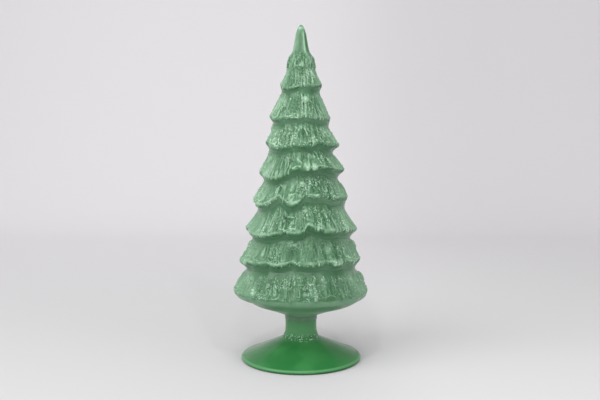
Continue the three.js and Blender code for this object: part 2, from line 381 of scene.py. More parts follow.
# What all tiers of boughs share: the lips, notches and waists are as the frame has them
tierForm = {
    "widestLipHeight": 49.5, "widestLipRadius": 48.7, "lipTaper": 0.2167, "inset": 0.35, "dropLeast": 4.2,
    "dropShare": 0.07, "lessInFront": 0.35, "notchDepth": 0.035,
    "notchSpread": 2.0,  # degrees over which a notch is rounded off
    "notchSpreadLowest": 6.0,  # those on the lowest tier
    "lobeRound": 0.6, "grooveReach": 2.8, "grooveDepth": 1.3, "waistFollow": 0.8, "backRise": 1.4,
    "backSag": 2.8, "backChange": 0.8, "wall": 3.0, "wobble": 0.45, "wobbleSize": 22.0, "strokeWidth": 0.9,
    "strokeStand": 0.8, "strokePitch": 0.7,
    "tuckTurns": (0.3, 0.3),  # shares of the way that the glass takes to turn at a waist and at a lip
    "flareTurns": (0.16, 0.1),
}
# The tiers from the bottom up. lip is the lip's height, stand how far it stands off the taper, swing how far
# the tier has slipped to the right, tuck how far in the waist under it goes, and bell how hollow its flare
# is. topFade is how soon the deeper colour of its top ends, partly its own colour and partly painted shade,
# and lipLine how plain the pale line along its lip is, partly a painted highlight. back is how many even
# lobes it has behind. The lobes hang like swags between notches: (where the notch is, how far the lip rises
# there, how deep the lobe after it sags). beads are small knobs that stand on the glass: (where in degrees,
# height, size, how far it stands out). strokes are thin raised lines: (where one starts in degrees and
# height, and where it ends).
tiers = [
    dict(lip=50.6, stand=0.25, swing=-0.25, tuck=0.0, bell=0.75, topFade=0.5, lipLine=0.6, back=6,
         lobes=[(-100, 1.2, 1.4), (-42, 1.8, 1.6), (-28, 1.6, 1.3), (-8, 1.6, 1.2), (12, 2.6, 2.3),
                (36, 2.4, 2.2), (66, 1.6, 1.2), (95, 1, 0)],
         beads=[(86, 60.3, 4.8, 2.1)], strokes=[(-8.4, 61.5, 8.4, 61.5)]),
    dict(lip=73.3, stand=0.3, swing=-0.7, tuck=4.7, bell=1.0, topFade=0.75, lipLine=1.1, back=6,
         lobes=[(-88, 0.6, 1.2), (-60, 0.6, 0.5), (-33, 1.6, 1.8), (-9, 3.2, 1.6), (24, 3, 1), (46, 2.6, 0.9),
                (75, 1.2, 0.4), (95, 0.4, 0)],
         beads=[(-87, 83.5, 4.4, 2.0), (87, 83.5, 4.4, 2.0), (28, 83.8, 3.6, 0.6)]),
    dict(lip=95.0, stand=1.95, swing=0.45, tuck=5.5, bell=1.2, topFade=0.8, lipLine=1.1, back=5,
         lobes=[(-104, 0.9, 0.2), (-80, 1, 3.6), (-17, 1.8, 1.1), (3, 1.6, 0), (6.5, 7, 2.5), (46, 2.6, 0.8),
                (85, 1, 0)],
         beads=[]),
    dict(lip=117.0, stand=0.2, swing=-0.5, tuck=2.9, bell=1.0, topFade=1.1, lipLine=1.3, back=5,
         lobes=[(-82, 0, 5.8), (-27, 4, 7.2), (5, 4.8, 1.3), (29, 4.2, 1.7), (58, 1.6, 0.4), (100, 1.4, 0)],
         beads=[(2.9, 128.4, 2.6, 1.4), (-1.7, 120.7, 2.2, 0.9), (84, 124, 6, 1.2)]),
    dict(lip=136.9, stand=1.05, swing=0.7, tuck=4.3, bell=1.15, topFade=1.6, lipLine=0.6, back=5,
         lobes=[(-75, 0, 4.9), (-15, 0, -1.2), (5, 1.3, 0), (12, 2.7, 0.5), (25, 3.5, 0.1), (66, 0.6, 0),
                (100, 1.3, 0)],
         beads=[(84, 143.5, 6.5, 0.8)],
         strokes=[(6.3, 145.3, -2.1, 139.4), (6.3, 145.3, 12.1, 140.6), (21.7, 145.3, 15.7, 140.2),
                  (21.7, 145.3, 28.5, 140.2), (14.3, 146.7, 26.3, 146.7)]),
    dict(lip=157.0, stand=0.9, swing=0.9, tuck=3.5, bell=1.0, topFade=1.4, lipLine=0.2, back=5,
         lobes=[(-95, 0.2, 0), (-78, 0, 3.4), (-12, -1.6, 0.4), (20, -2.6, 0), (30, 0.3, 2.2), (75, -0.8, 0)],
         beads=[(-88, 168.0, 3.4, 1.4)]),
    dict(lip=175.0, stand=0.4, swing=-0.8, tuck=2.3, bell=1.0, topFade=1.6, lipLine=0.6, back=5,
         lobes=[(-100, 0.6, 0.2), (-78, 0.4, 2), (-36, -1, 0.3), (0, -1.2, 0), (6, 0.4, 1.4), (75, -0.4, 0)],
         beads=[(11, 186.4, 3.2, 1.8)]),
    dict(lip=199.2, stand=-0.75, swing=0.2, tuck=1.9, bell=1.1, topFade=4.0, lipLine=0.4, back=4,
         lobes=[(-96, -1, 0.3), (-80, -1, 3.4), (5, -2.4, 1.3), (80, -0.8, 0)],
         beads=[(-85, 202.5, 5, 0.4)]),
]
# Fingers of needles on every flare, as the frame has them: how many in a turn, how deep the valleys between
# them are as a share of the lip's radius, how much of it is left at the lip, and how uneven they are
fingers = {"count": 32, "depth": 0.03, "atLip": 0.35, "uneven": 0.35, "beat": 2.3}
# The needles in the glass: pitches, heights and sizes of their patches in millimetres, the rest as shares
boughRelief = {
    "columnPitch": 0.36, "rowPitch": 0.38, "underRows": 14, "innerRows": 4, "seam": 0.002, "linePitch": 2.8,
    "lineSharp": 3.0, "lineHeight": 0.7, "lineWaver": 1.2, "lineWaverSize": 2.6, "lineGaps": 0.55,
    "gapSize": 2.2, "strandPitch": 2.0, "strandStretch": 11.0, "strandThin": 7.0, "patchSize": 15,
    "strengthSize": 5, "pipSize": 0.95, "pipHeight": 0.4, "fan": 1.8, "waver": 1.1, "waverSize": 9,
    "shuffle": 2.2, "shuffleSize": 13,
}
undersideEnd = (42.4, 45.4)
undersideSwing = 1.9
shoulderFoot = (10.1, 209.0)


def lipRadius(tier):
    taper = (tier["lip"] - tierForm["widestLipHeight"]) * tierForm["lipTaper"]
    return tierForm["widestLipRadius"] - taper + tier["stand"]


def notchesOf(tier):  # the listed notches, and then the even ones of the back
    listed = tier["lobes"][:-1]
    backStart, startRise, _ = tier["lobes"][-1]
    backSpan = 360 + listed[0][0] - backStart
    for i in range(tier["back"]):
        rise = tierForm["backRise"] if i else startRise
        change = tierForm["backChange"] * (1 if i % 2 else -1)
        listed.append((backStart + backSpan * i / tier["back"], rise, tierForm["backSag"] + change))
    return listed


def lobeAt(tier, degrees):  # how far the lip rises there, how full the lobe is, and how its needles lean
    notches = notchesOf(tier)
    first = notches[0][0]
    turn = first + (degrees - first) % 360
    index = max(i for i, notch in enumerate(notches) if notch[0] <= turn)
    at, rise, sag = notches[index]
    nextAt, nextRise = (first + 360, notches[0][1]) if index + 1 == len(notches) else notches[index + 1][:2]
    share = (turn - at) / (nextAt - at)
    swag = 4 * share * (1 - share)
    lean = math.sin(share * 2 * math.pi)
    return rise + (nextRise - rise) * share - sag * swag, swag ** tierForm["lobeRound"], lean


def grooveAt(tier, degrees):  # how deep the groove is that runs up the flare from a notch
    notches = notchesOf(tier)
    deepest = 0
    for index, (at, _, sag) in enumerate(notches):
        away = math.radians(abs((degrees - at + 180) % 360 - 180)) * lipRadius(tier) / tierForm["grooveReach"]
        strength = clamp01(0.25 + (max(0, sag) + max(0, notches[index - 1][2])) / 6)
        deepest = max(deepest, strength * math.exp(-away * away))
    return deepest


def wobbleAt(degrees, radius, height):  # the slow unevenness of hot glass, the same for pieces that meet
    turn = math.radians(degrees)
    place = Vector((radius * math.sin(turn), -radius * math.cos(turn), height))
    return noise.noise(place / tierForm["wobbleSize"]) * tierForm["wobble"]


def lipAt(tier, degrees):
    rise, bulge, _ = lobeAt(tier, degrees)
    radius = lipRadius(tier) * (1 - tierForm["notchDepth"] * (1 - bulge)) - tierForm["inset"]
    radius += tier["swing"] * math.sin(math.radians(degrees))
    return radius + wobbleAt(degrees, radius, tier["lip"]), tier["lip"] + rise


def softLine(share, turns):  # from 0 to 1 in a straight line, with a soft turn at each end
    start = aboveZero(turns[0] - share) ** 2 / (2 * turns[0])
    end = aboveZero(share - (1 - turns[1])) ** 2 / (2 * turns[1])
    return (share - turns[0] / 2 + start - end) / (1 - (turns[0] + turns[1]) / 2)


def waistAt(tier, degrees):
    full = lipRadius(tier)
    shorter = 1 - tierForm["lessInFront"] * math.cos(math.radians(degrees)) ** 2
    drop = (tierForm["dropLeast"] + full * tierForm["dropShare"]) * shorter
    radius = full - tier["tuck"]
    height = tier["lip"] - drop + lobeAt(tier, degrees)[0] * tierForm["waistFollow"]
    return radius + wobbleAt(degrees, radius, tier["lip"] - drop), height


def topAt(number, degrees):  # where a tier's flare begins: the waist above it, or the foot of the shoulder
    return waistAt(tiers[number + 1], degrees) if number + 1 < len(tiers) else shoulderFoot


def undersideAt(radius, degrees):  # the underside has slipped to the right towards its edge
    share = (radius - neckForm["radius"]) / (undersideEnd[0] - neckForm["radius"])
    return radius + undersideSwing * share * math.sin(math.radians(degrees))


def surfaceAt(number, degrees, height):  # how far out a flare's glass is there, with its valleys and grooves
    tier = tiers[number]
    (lipR, lipZ), (aboveR, aboveZ) = lipAt(tier, degrees), topAt(number, degrees)
    drop = clamp01((aboveZ - height) / (aboveZ - lipZ))
    across = degrees / 360 * fingers["count"] % fingers["count"]
    uneven = 1 + fingers["uneven"] * math.sin(across * fingers["beat"] + tier["lip"])
    valley = (0.5 - 0.5 * math.cos(across * 2 * math.pi)) * uneven * lipR * fingers["depth"]
    outwards = softLine(drop ** tier["bell"], tierForm["flareTurns"])
    midFlare = max(0, math.sin(math.pi * drop ** 1.3))
    dip = (valley + grooveAt(tier, degrees) * tierForm["grooveDepth"]) * midFlare
    return aboveR + (lipR - valley * fingers["atLip"] - aboveR) * outwards - dip


def strokePoints(tier):  # the strokes as close rows of (degrees, height)
    for startAt, startHeight, endAt, endHeight in tier.get("strokes", []):
        length = math.hypot(math.radians(endAt - startAt) * lipRadius(tier), endHeight - startHeight)
        steps = round(length / tierForm["strokePitch"])
        for step in range(steps + 1):
            share = step / steps
            yield startAt + (endAt - startAt) * share, startHeight + (endHeight - startHeight) * share


def knobsOf(number):  # (degrees, height, radius, size, how far it stands out) along the beads and strokes
    tier = tiers[number]
    for degrees, height, size, stand in tier["beads"]:
        aboveR, aboveZ = topAt(number, degrees)
        share = clamp01((aboveZ - height) / (aboveZ - tier["lip"])) ** tier["bell"]
        radius = aboveR + (lipRadius(tier) - aboveR) * softLine(share, tierForm["flareTurns"])
        yield degrees, height, radius, size, stand
    for degrees, height in strokePoints(tier):
        radius = surfaceAt(number, degrees, height)
        yield degrees, height, radius, tierForm["strokeWidth"], tierForm["strokeStand"]


def ringPointAt(number, ring, degrees):  # the radius and height of one of a tier's rings there
    tier = tiers[number]
    if ring == "lip":
        spread = tierForm["notchSpread" if number else "notchSpreadLowest"]
        around = [lipAt(tier, degrees + spread * step / 2) for step in range(-2, 3)]
        return [sum(values) / len(values) for values in zip(*around)]
    if ring == "above":
        return topAt(number, degrees)
    if number:
        return waistAt(tier, degrees)
    return undersideAt(undersideEnd[0], degrees), undersideEnd[1]


# The host of a tier's node tree: three rings of points, the waist below, the lip and the waist above, and
# after them one point for each knob
def makeTierHost(name, number, columns):
    tier = tiers[number]
    points, lean, groove = [], [], []
    for ring in ("below", "lip", "above"):
        for i in range(columns):
            turn = 2 * math.pi * i / columns
            degrees = math.degrees(turn) + 90
            radius, height = ringPointAt(number, ring, degrees)
            points.append((radius * math.cos(turn), radius * math.sin(turn), height))
            lean.append(lobeAt(tier, degrees)[2])
            groove.append(grooveAt(tier, degrees))
    sizes, stands = [0.0] * len(points), [0.0] * len(points)
    for degrees, height, radius, size, stand in knobsOf(number):
        turn = math.radians(degrees)
        points.append((radius * math.sin(turn), -radius * math.cos(turn), height))
        lean.append(0.0)
        groove.append(0.0)
        sizes.append(size)
        stands.append(stand)
    return meshOf(name, points, [], lean=lean, groove=groove, beadSize=sizes, beadStand=stands)


# Where each point of a tier's glass is: round it by column, and by row up the undercut, up the flare, over
# the top, down the inner wall and under the bottom
def layGrid(tree, given):
    under, inner = boughRelief["underRows"], boughRelief["innerRows"]
    outer = given["Flare Rows"] + under
    rows = outer + (inner + 2)
    tube = addNode(tree, "GeometryNodeMeshCylinder", {
        "Vertices": given["Columns"], "Side Segments": rows, "Radius": 1.0, "Depth": 1.0,
    }, fill_type="NONE")
    at = SimpleNamespace(tree=tree, given=given, mesh=tube.outputs["Mesh"])
    at.position = tree.nodes.new("GeometryNodeInputPosition").outputs[0]
    at.east, at.north, level = partsOf(tree, at.position)
    at.angle = at.north.math("ARCTAN2", at.east)
    row = (level + 0.5) * rows

    def shareOf(start, length):
        return ((row - start) / length).clamped()
    at.underShare = shareOf(0, under)
    at.flareShare = shareOf(under, given["Flare Rows"])
    at.topShare = shareOf(outer, 1)
    at.innerShare = shareOf(outer + 1, inner)
    at.bottomShare = shareOf(outer + (1 + inner), 1)
    at.drop = 1 - at.flareShare
    at.outside = 1 - at.topShare
    # 1 on the flare and above it, and 0 further or less far down the undercut
    at.onFlare, at.nearFlare, at.overLip = (at.underShare.rise(low, 1.0) for low in (0.98, 0.9, 0.8))
    return at


def attributeOf(tree, name):
    node = addNode(tree, "GeometryNodeInputNamedAttribute", {"Name": name}, data_type="FLOAT")
    return Flow(tree, node.outputs[0])


def sampleOf(tree, geometry, field, index, kind="FLOAT"):
    node = addNode(tree, "GeometryNodeSampleIndex", {"Geometry": geometry, "Value": field, "Index": index},
                   data_type=kind, domain="POINT")
    return Flow(tree, node.outputs[0])


# What the host's rings of points give at each column
def readRings(at, rings):
    tree, columns = at.tree, at.given["Columns"]
    column = (at.angle / (2 * math.pi) * columns + columns).math("ROUND").math("FLOORED_MODULO", columns)

    def outlineAt(number):
        place = sampleOf(tree, rings, at.position, column + columns * number, "FLOAT_VECTOR")
        x, y, z = partsOf(tree, place)
        return (x * x + y * y) ** 0.5, z

    def atLip(name):
        return sampleOf(tree, rings, attributeOf(tree, name), column + columns)
    at.belowR, at.belowZ = outlineAt(0)
    at.lipR, at.lipZ = outlineAt(1)
    at.aboveR, at.aboveZ = outlineAt(2)
    at.lean, at.groove = atLip("lean"), atLip("groove")


# The tier's shape, with the valleys between its fingers of needles as the frame has them
def shapeTier(at):
    belly, wall = at.given["Belly"], at.given["Wall"]
    turns = at.angle / (2 * math.pi) + 0.25
    across = (turns * fingers["count"]).math("FLOORED_MODULO", float(fingers["count"]))
    uneven = (across * fingers["beat"] + at.given["Lip Height"]).sin() * fingers["uneven"] + 1
    valley = (0.5 - (across * (2 * math.pi)).cos() * 0.5) * uneven * at.lipR * fingers["depth"]
    at.midFlare = aboveZero((at.drop ** 1.3 * math.pi).sin())
    lipGroove = at.groove * (1 - belly * 0.8) * (tierForm["grooveDepth"] * 0.6)
    lipIn = at.lipR - valley * fingers["atLip"] * (1 - belly * 0.5) - lipGroove

    quarter = at.underShare * (math.pi / 2)
    tucked = softLine(at.underShare, tierForm["tuckTurns"])
    underOut = tucked + (quarter.sin() - tucked) * belly
    underUp = at.underShare + (1 - quarter.cos() - at.underShare) * belly
    flareIn = 1 - softLine(at.drop ** at.given["Bell"], tierForm["flareTurns"])
    dip = valley * at.midFlare + at.groove * at.midFlare * tierForm["grooveDepth"]
    dip = dip * at.outside * at.onFlare
    radius = (at.belowR + (lipIn - at.belowR) * underOut + (at.aboveR - lipIn) * flareIn - dip
              - wall * at.topShare + (at.belowR - at.aboveR) * at.innerShare + wall * at.bottomShare)
    height = (at.belowZ + (at.lipZ - at.belowZ) * underUp + (at.aboveZ - at.lipZ) * at.flareShare
              + (at.belowZ - at.aboveZ) * at.innerShare)
    return vectorOf(at.tree, at.east * radius, at.north * radius, height)


def onTier(at, size, seed=0.0, down=1.0):  # noise over the tier, of a size in millimetres
    place = vectorOf(at.tree, at.east * at.lipR, at.north * at.lipR, at.downWay * down + (at.shift + seed))
    return noiseOf(at.tree, place, 1 / size)


def alongNeedles(at, size, stretch, seed):  # noise that is stretched along the needles
    place = vectorOf(at.tree, at.turn.cos() * at.lipR, at.turn.sin() * at.lipR,
                     at.downWay / stretch + (at.shift + seed))
    return noiseOf(at.tree, place, 1 / size)


# A row of fingers, each of nested lines that run down and close in a U at its end: how high the lines are,
# where the fingers are, and the chance that each finger has drawn
def fingerRow(at, phase, endLow, endHigh, seed):
    tree = at.tree
    shifted = at.finger + phase
    nearest = shifted.math("ROUND")
    cell = nearest.math("FLOORED_MODULO", float(fingers["count"]))
    drawn = addNode(tree, "ShaderNodeTexWhiteNoise", {"W": cell + (at.shift + seed)}, noise_dimensions="1D")
    chance = Flow(tree, drawn.outputs["Value"])
    end = chance * (endHigh - endLow) + endLow
    above = (end - at.drop) * at.slant
    halfFinger = at.lipR * (math.pi / fingers["count"])
    side = (shifted - nearest) * halfFinger * 2
    curve = aboveZero(halfFinger - above)
    away = (side * side + curve * curve) ** 0.5 + at.lineWaver * (boughRelief["lineWaver"] * 2)
    wave = 0.5 - (away * (2 * math.pi / boughRelief["linePitch"])).cos() * 0.5
    inside = ((halfFinger * 1.02 - away) / 0.4).clamped()
    return (wave ** boughRelief["lineSharp"]) * inside, inside, chance


# The needles: two rows of fingers like shingles, plain strands in some patches, and pips over both
def drawNeedles(at):
    relief = boughRelief
    at.shift = at.given["Seed"] * 37.0
    at.slant = (at.aboveZ - at.lipZ) * 1.15  # about how long the flare is down its slant
    at.downWay = at.drop * at.slant
    waver = (onTier(at, relief["waverSize"]) - 0.5) * (relief["waver"] * 2)
    at.turn = at.angle + (waver + at.lean * at.drop * relief["fan"]) / at.lipR
    at.lineWaver = onTier(at, relief["lineWaverSize"], down=0.45) - 0.5
    shuffle = (onTier(at, relief["shuffleSize"], 7.0, 0.2) - 0.5) * relief["shuffle"]
    at.finger = (at.turn / (2 * math.pi) + 0.25) * fingers["count"] + shuffle

    lower, _, _ = fingerRow(at, 0.0, 0.9, 1.0, 11.0)
    upper, upperInside, upperChance = fingerRow(at, 0.5, 0.3, 0.66, 67.0)
    at.upperInside = upperInside * upperChance.rise(0.35, 0.4)
    gaps = onTier(at, relief["gapSize"], 90.0).rise(0.36, 0.56)
    lines = lower * (1 - at.upperInside) + upper * at.upperInside
    lines *= gaps * relief["lineGaps"] + (1 - relief["lineGaps"])

    strands = alongNeedles(at, relief["strandPitch"], relief["strandStretch"], 500.0)
    strands = strands.near(0.5, relief["strandThin"]) ** 1.6
    strandShare = onTier(at, relief["patchSize"]).rise(0.46, 0.6)
    at.strength = alongNeedles(at, relief["strengthSize"], 2.0, 30.0).rise(0.34, 0.58) * 0.75 + 0.25
    at.needles = (lines * (1 - strandShare * 0.6)).math("MAXIMUM", strands * strandShare) * at.strength
    at.pips = alongNeedles(at, relief["pipSize"], 1.3, 900.0).rise(0.42, 0.7)


# Where the needles start and end, the line along the lip, and where the glass is painted deeper or paler:
# partly its own colour, partly painted shade and painted light
def markZones(at):
    belly, under = at.given["Belly"], at.underShare
    at.runsOn = (at.given["Top Fade"] - 3).clamped()  # 1 on the top tier: its needles run on up the shoulder
    startsAt = alongNeedles(at, 3.0, 20.0, 1300.0) * 0.5 - 0.17 + belly * 0.1
    at.flareMask = ((at.drop - startsAt) / 0.14 + at.runsOn * 2).clamped()
    lowEnd = under.rise(0.5, 0.85) * (1 - belly) + under.rise(0.84, 1.0) * belly
    at.needleZone = at.flareMask * lowEnd * at.outside
    # The raised line along the lip is painted pale, partly as a painted highlight
    lipLine = at.drop.near(0.95, 14) * at.nearFlare * at.outside
    lipLine = lipLine * (onTier(at, 8) * 2.6 - 0.9).clamped() * (1 - belly * 0.8)
    at.lipLine = lipLine * at.given["Lip Line"]
    at.lipMask = at.drop.near(0.96, 8) * at.overLip * at.outside
    # The glass is deeper in colour towards the top of a flare, under the lip above, partly its own colour and
    # partly painted shade, more so in some places than in others
    atTop = (1 - at.drop * at.given["Top Fade"] + onTier(at, 10) - 0.4).clamped()
    at.atTop = atTop * at.onFlare * (1 - at.runsOn)
    at.between = ((at.finger * (2 * math.pi)).cos() * -0.5 + 0.5) * at.midFlare * (1 - at.upperInside * 0.6)
    # Both sides, east and west, are painted paler, as painted light on the flanks
    at.atSide = at.east.size().rise(0.6, 0.95) * at.outside * at.nearFlare


# How pale, how deep in colour and how wrinkled the glass is, and how far its needles lift it. The pale crests
# are partly painted highlight, and the deeper colour partly painted shade
def paintTier(at):
    belly, under = at.given["Belly"], at.underShare
    crest = (at.needles * at.needleZone).math("MAXIMUM", at.lipLine)
    relief = crest * (1.25 + at.pips * 0.2) * (1 - at.atTop * 0.7) * (1 - at.lipLine * 0.6)
    relief *= 1 - at.between * 0.5
    relief = relief * (1 - at.atSide * 0.3) + at.atSide * 0.2
    lifted = crest * boughRelief["lineHeight"] + at.pips * at.needleZone * boughRelief["pipHeight"]

    # Hollows, where the glass is deeper in colour, partly its own colour and partly painted shade: under the
    # lips, in the grooves and in the valleys between fingers and ridges; painted shade also on the lowest
    # tier's underside and on lips whose pale line is faint; and deeper colour in patches
    band = (1 - at.flareMask * at.overLip) * at.outside * (at.nearFlare * 0.4 + 0.6)
    band *= 1 - belly * (1 - at.onFlare)
    inGroove = at.groove * (at.drop ** 0.6) * under.rise(0.6, 1.0)
    depth = at.between * 0.8 + (1 - crest) * at.needleZone * 0.55
    depth = band.math("MAXIMUM", inGroove).math("MAXIMUM", depth).math("MAXIMUM", at.atTop)
    depth += alongNeedles(at, 4, 2.5, 60.0).rise(0.46, 0.66) * at.needleZone * 0.5
    depth += belly * (1 - under) * 0.35
    depth += at.lipMask * (1 - at.given["Lip Line"]).clamped() * 0.5
    depth = (depth + at.runsOn * 0.15).clamped() * (1 - at.atSide * 0.4)
    wrinkle = at.needleZone * (at.strength * 0.7 + 0.3) * (1 - at.lipLine * 0.5)
    wrinkle = wrinkle * (1 - at.atTop * 0.3) * (1 - at.atSide * 0.5)
    return {
        "relief": relief.clamped(), "hollow": depth, "wrinkle": wrinkle,
        "lift": lifted * at.given["Needle Height"],
    }


def storeField(tree, geometry, name, field):
    store = addNode(tree, "GeometryNodeStoreNamedAttribute", {
        "Geometry": geometry, "Name": name, "Value": field,
    }, data_type="FLOAT", domain="POINT")
    return store.outputs["Geometry"]


# The needles are raised by what is stored for them, and a round knob over each of the host's last points
def raiseNeedlesAndBeads(tree, geometry, rings):
    isBead = attributeOf(tree, "beadSize").math("GREATER_THAN", 0.001)
    beads = addNode(tree, "GeometryNodeSeparateGeometry", {"Geometry": rings, "Selection": isBead},
                    domain="POINT").outputs[0]
    nearest = addNode(tree, "GeometryNodeSampleNearest", {"Geometry": beads}, domain="POINT").outputs[0]
    near = addNode(tree, "GeometryNodeProximity", {"Geometry": beads}, target_element="POINTS")
    size, stand = (
        sampleOf(tree, beads, attributeOf(tree, name), nearest) for name in ("beadSize", "beadStand")
    )
    reach = Flow(tree, near.outputs["Distance"]) / (size + 0.001)
    dome = (1 - reach * reach).clamped() ** 0.7
    beadLift = dome * stand * Flow(tree, near.outputs["Is Valid"])
    lift = attributeOf(tree, "lift") * (1 - dome * 0.7) + beadLift
    normal = tree.nodes.new("GeometryNodeInputNormal").outputs[0]
    outward = addNode(tree, "ShaderNodeVectorMath", {0: normal, "Scale": lift}, operation="SCALE")
    raised = addNode(tree, "GeometryNodeSetPosition", {"Geometry": geometry, "Offset": outward.outputs[0]})
    paler = attributeOf(tree, "relief").math("MAXIMUM", beadLift * (4.4 - size).clamped() * 0.5)
    return storeField(tree, raised.outputs["Geometry"], "relief", paler)


# The node tree of one tier of boughs, built in millimetres and scaled to metres at the end
def makeBoughTree():
    tree = bpy.data.node_groups.new("boughTier", "GeometryNodeTree")
    tree.is_modifier = True
    tree.interface.new_socket("Geometry", in_out="OUTPUT", socket_type="NodeSocketGeometry")
    for kind, names in (
        ("Geometry", ["Geometry"]),
        ("Float", ["Bell", "Belly", "Wall", "Seed", "Lip Height", "Needle Height", "Top Fade", "Lip Line"]),
        ("Int", ["Columns", "Flare Rows"]),
        ("Material", ["Glass"]),
    ):
        for name in names:
            tree.interface.new_socket(name, in_out="INPUT", socket_type="NodeSocket" + kind)
    inputs = tree.nodes.new("NodeGroupInput").outputs
    rings = inputs["Geometry"]
    given = {socket.name: Flow(tree, socket) for socket in inputs if socket.name not in ("", "Geometry")}

    at = layGrid(tree, given)
    readRings(at, rings)
    place = shapeTier(at)
    drawNeedles(at)
    markZones(at)
    geometry = at.mesh
    for name, field in paintTier(at).items():
        geometry = storeField(tree, geometry, name, field)
    form = addNode(tree, "GeometryNodeSetPosition", {"Geometry": geometry, "Position": place})
    geometry = raiseNeedlesAndBeads(tree, form.outputs["Geometry"], rings)
    for kind, settings in (
        ("GeometryNodeMergeByDistance", {"Distance": boughRelief["seam"]}),
        ("GeometryNodeTransform", {"Scale": (mm, mm, mm)}),
        ("GeometryNodeSetShadeSmooth", {}),
        ("GeometryNodeRealizeInstances", {}),
        ("GeometryNodeSetMaterial", {"Material": given["Glass"]}),
    ):
        geometry = addNode(tree, kind, {"Geometry": geometry, **settings}).outputs["Geometry"]
    plug(tree, geometry, tree.nodes.new("NodeGroupOutput").inputs["Geometry"])
    return tree


# Runs a node tree on a host mesh with its named inputs set, and hands back the result as a plain mesh object
def bakeNodes(name, nodeTree, hostMesh, inputs):
    host = addObject(name + "Host", hostMesh)
    modifier = host.modifiers.new("nodes", "NODES")
    modifier.node_group = nodeTree
    for item in nodeTree.interface.items_tree:
        if item.item_type == "SOCKET" and item.in_out == "INPUT" and item.name in inputs:
            modifier[item.identifier] = inputs[item.name]
    host.update_tag()
    bpy.context.view_layer.update()
    graph = bpy.context.evaluated_depsgraph_get()
    mesh = bpy.data.meshes.new_from_object(host.evaluated_get(graph), preserve_all_data_layers=True,
                                           depsgraph=graph)
    mesh.name = name
    host.modifiers.remove(modifier)
    bpy.data.objects.remove(host)
    bpy.data.meshes.remove(hostMesh)
    return addObject(name, mesh)


def settle(piece, node):
    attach(piece, "root")
    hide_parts(node)


def makeTiers(glass):
    nodeTree = makeBoughTree()
    for number, tier in enumerate(tiers):
        above = topAt(number, 0)
        radius = lipRadius(tier)
        slant = math.hypot(above[1] - tier["lip"], radius - above[0])
        columns = int(2 * math.pi * radius / boughRelief["columnPitch"])
        name = f"tree_tier_{number + 1}"
        piece = bakeNodes(name, nodeTree, makeTierHost(name + "Rings", number, columns), {
            "Bell": tier["bell"], "Belly": 0.0 if number else 1.0, "Wall": tierForm["wall"],
            "Seed": float(number + 1), "Lip Height": tier["lip"],
            "Needle Height": 0.7 + 0.3 * radius / tierForm["widestLipRadius"],
            "Top Fade": tier["topFade"], "Lip Line": tier["lipLine"], "Columns": columns,
            "Flare Rows": int(slant / boughRelief["rowPitch"]), "Glass": glass,
        })
        settle(piece, "tree_body")
        print(piece.name, len(piece.data.vertices), "vertices")


# Smooth curve through a few [radius, z] points, evenly stepped
def smoothOutline(points, steps):
    padded = [points[0], *points, points[-1]]
    result = []
    for step in range(steps + 1):
        where = step / steps * (len(points) - 1)
        first = min(int(where), len(points) - 2)
        t = where - first
        p0, p1, p2, p3 = padded[first:first + 4]
        result.append(tuple(
            0.5 * ((2 * b) + (c - a) * t + (2 * a - 5 * b + 4 * c - d) * t * t
                   + (3 * b - a - 3 * c + d) * t ** 3)
            for a, b, c, d in zip(p0, p1, p2, p3)
        ))
    return result


# A piece of one turn from an outline of (radius, z) in millimetres, with the glass on its left.
# reliefAt(angle, radius, z) gives how far the glass stands out there, and the outline's ends join.
# paintAt(angle, radius, z) gives how pale, how deep in colour and how wrinkled the glass is there.
# placeAt(radius, angle) moves the outline in or out, where the piece isn't quite round.
def turnedPiece(name, outline, segments, material, reliefAt=None, paintAt=None, placeAt=None):
    vertices, paints, rings = [], [], []
    for ringRadius, z in outline:
        radius = ringRadius
        count = segments if radius else 1
        rings.append((len(vertices), count))
        for i in range(count):
            angle = 2 * math.pi * i / segments
            lift = reliefAt(angle, radius, z) if reliefAt and radius else 0  # as far out as the column before
            radius = placeAt(ringRadius, angle) if placeAt else ringRadius
            reach = radius + lift
            vertices.append((reach * math.sin(angle) * mm, -reach * math.cos(angle) * mm, z * mm))
            pale, hollow, wrinkle = paintAt(angle, radius, z) if paintAt else (0, 0, 0)
            paints.append((clamp01(pale + lift), clamp01(hollow - lift), wrinkle))
    faces = []
    for ring, (start, count) in enumerate(rings):
        nextStart, nextCount = rings[(ring + 1) % len(rings)]
        for i in range(segments):
            corners = [start + i % count, start + (i + 1) % count,
                       nextStart + (i + 1) % nextCount, nextStart + i % nextCount]
            corners = list(dict.fromkeys(corners))
            if len(corners) > 2:
                faces.append(corners)
    relief, hollow, wrinkle = zip(*paints)
    mesh = meshOf(name, vertices, faces, material, relief=relief, hollow=hollow, wrinkle=wrinkle)
    return addObject(name, mesh)


def ringPlace(angle, radius, z):  # where noise is read for a turned piece
    return Vector((radius * math.sin(angle), radius * math.cos(angle), z))


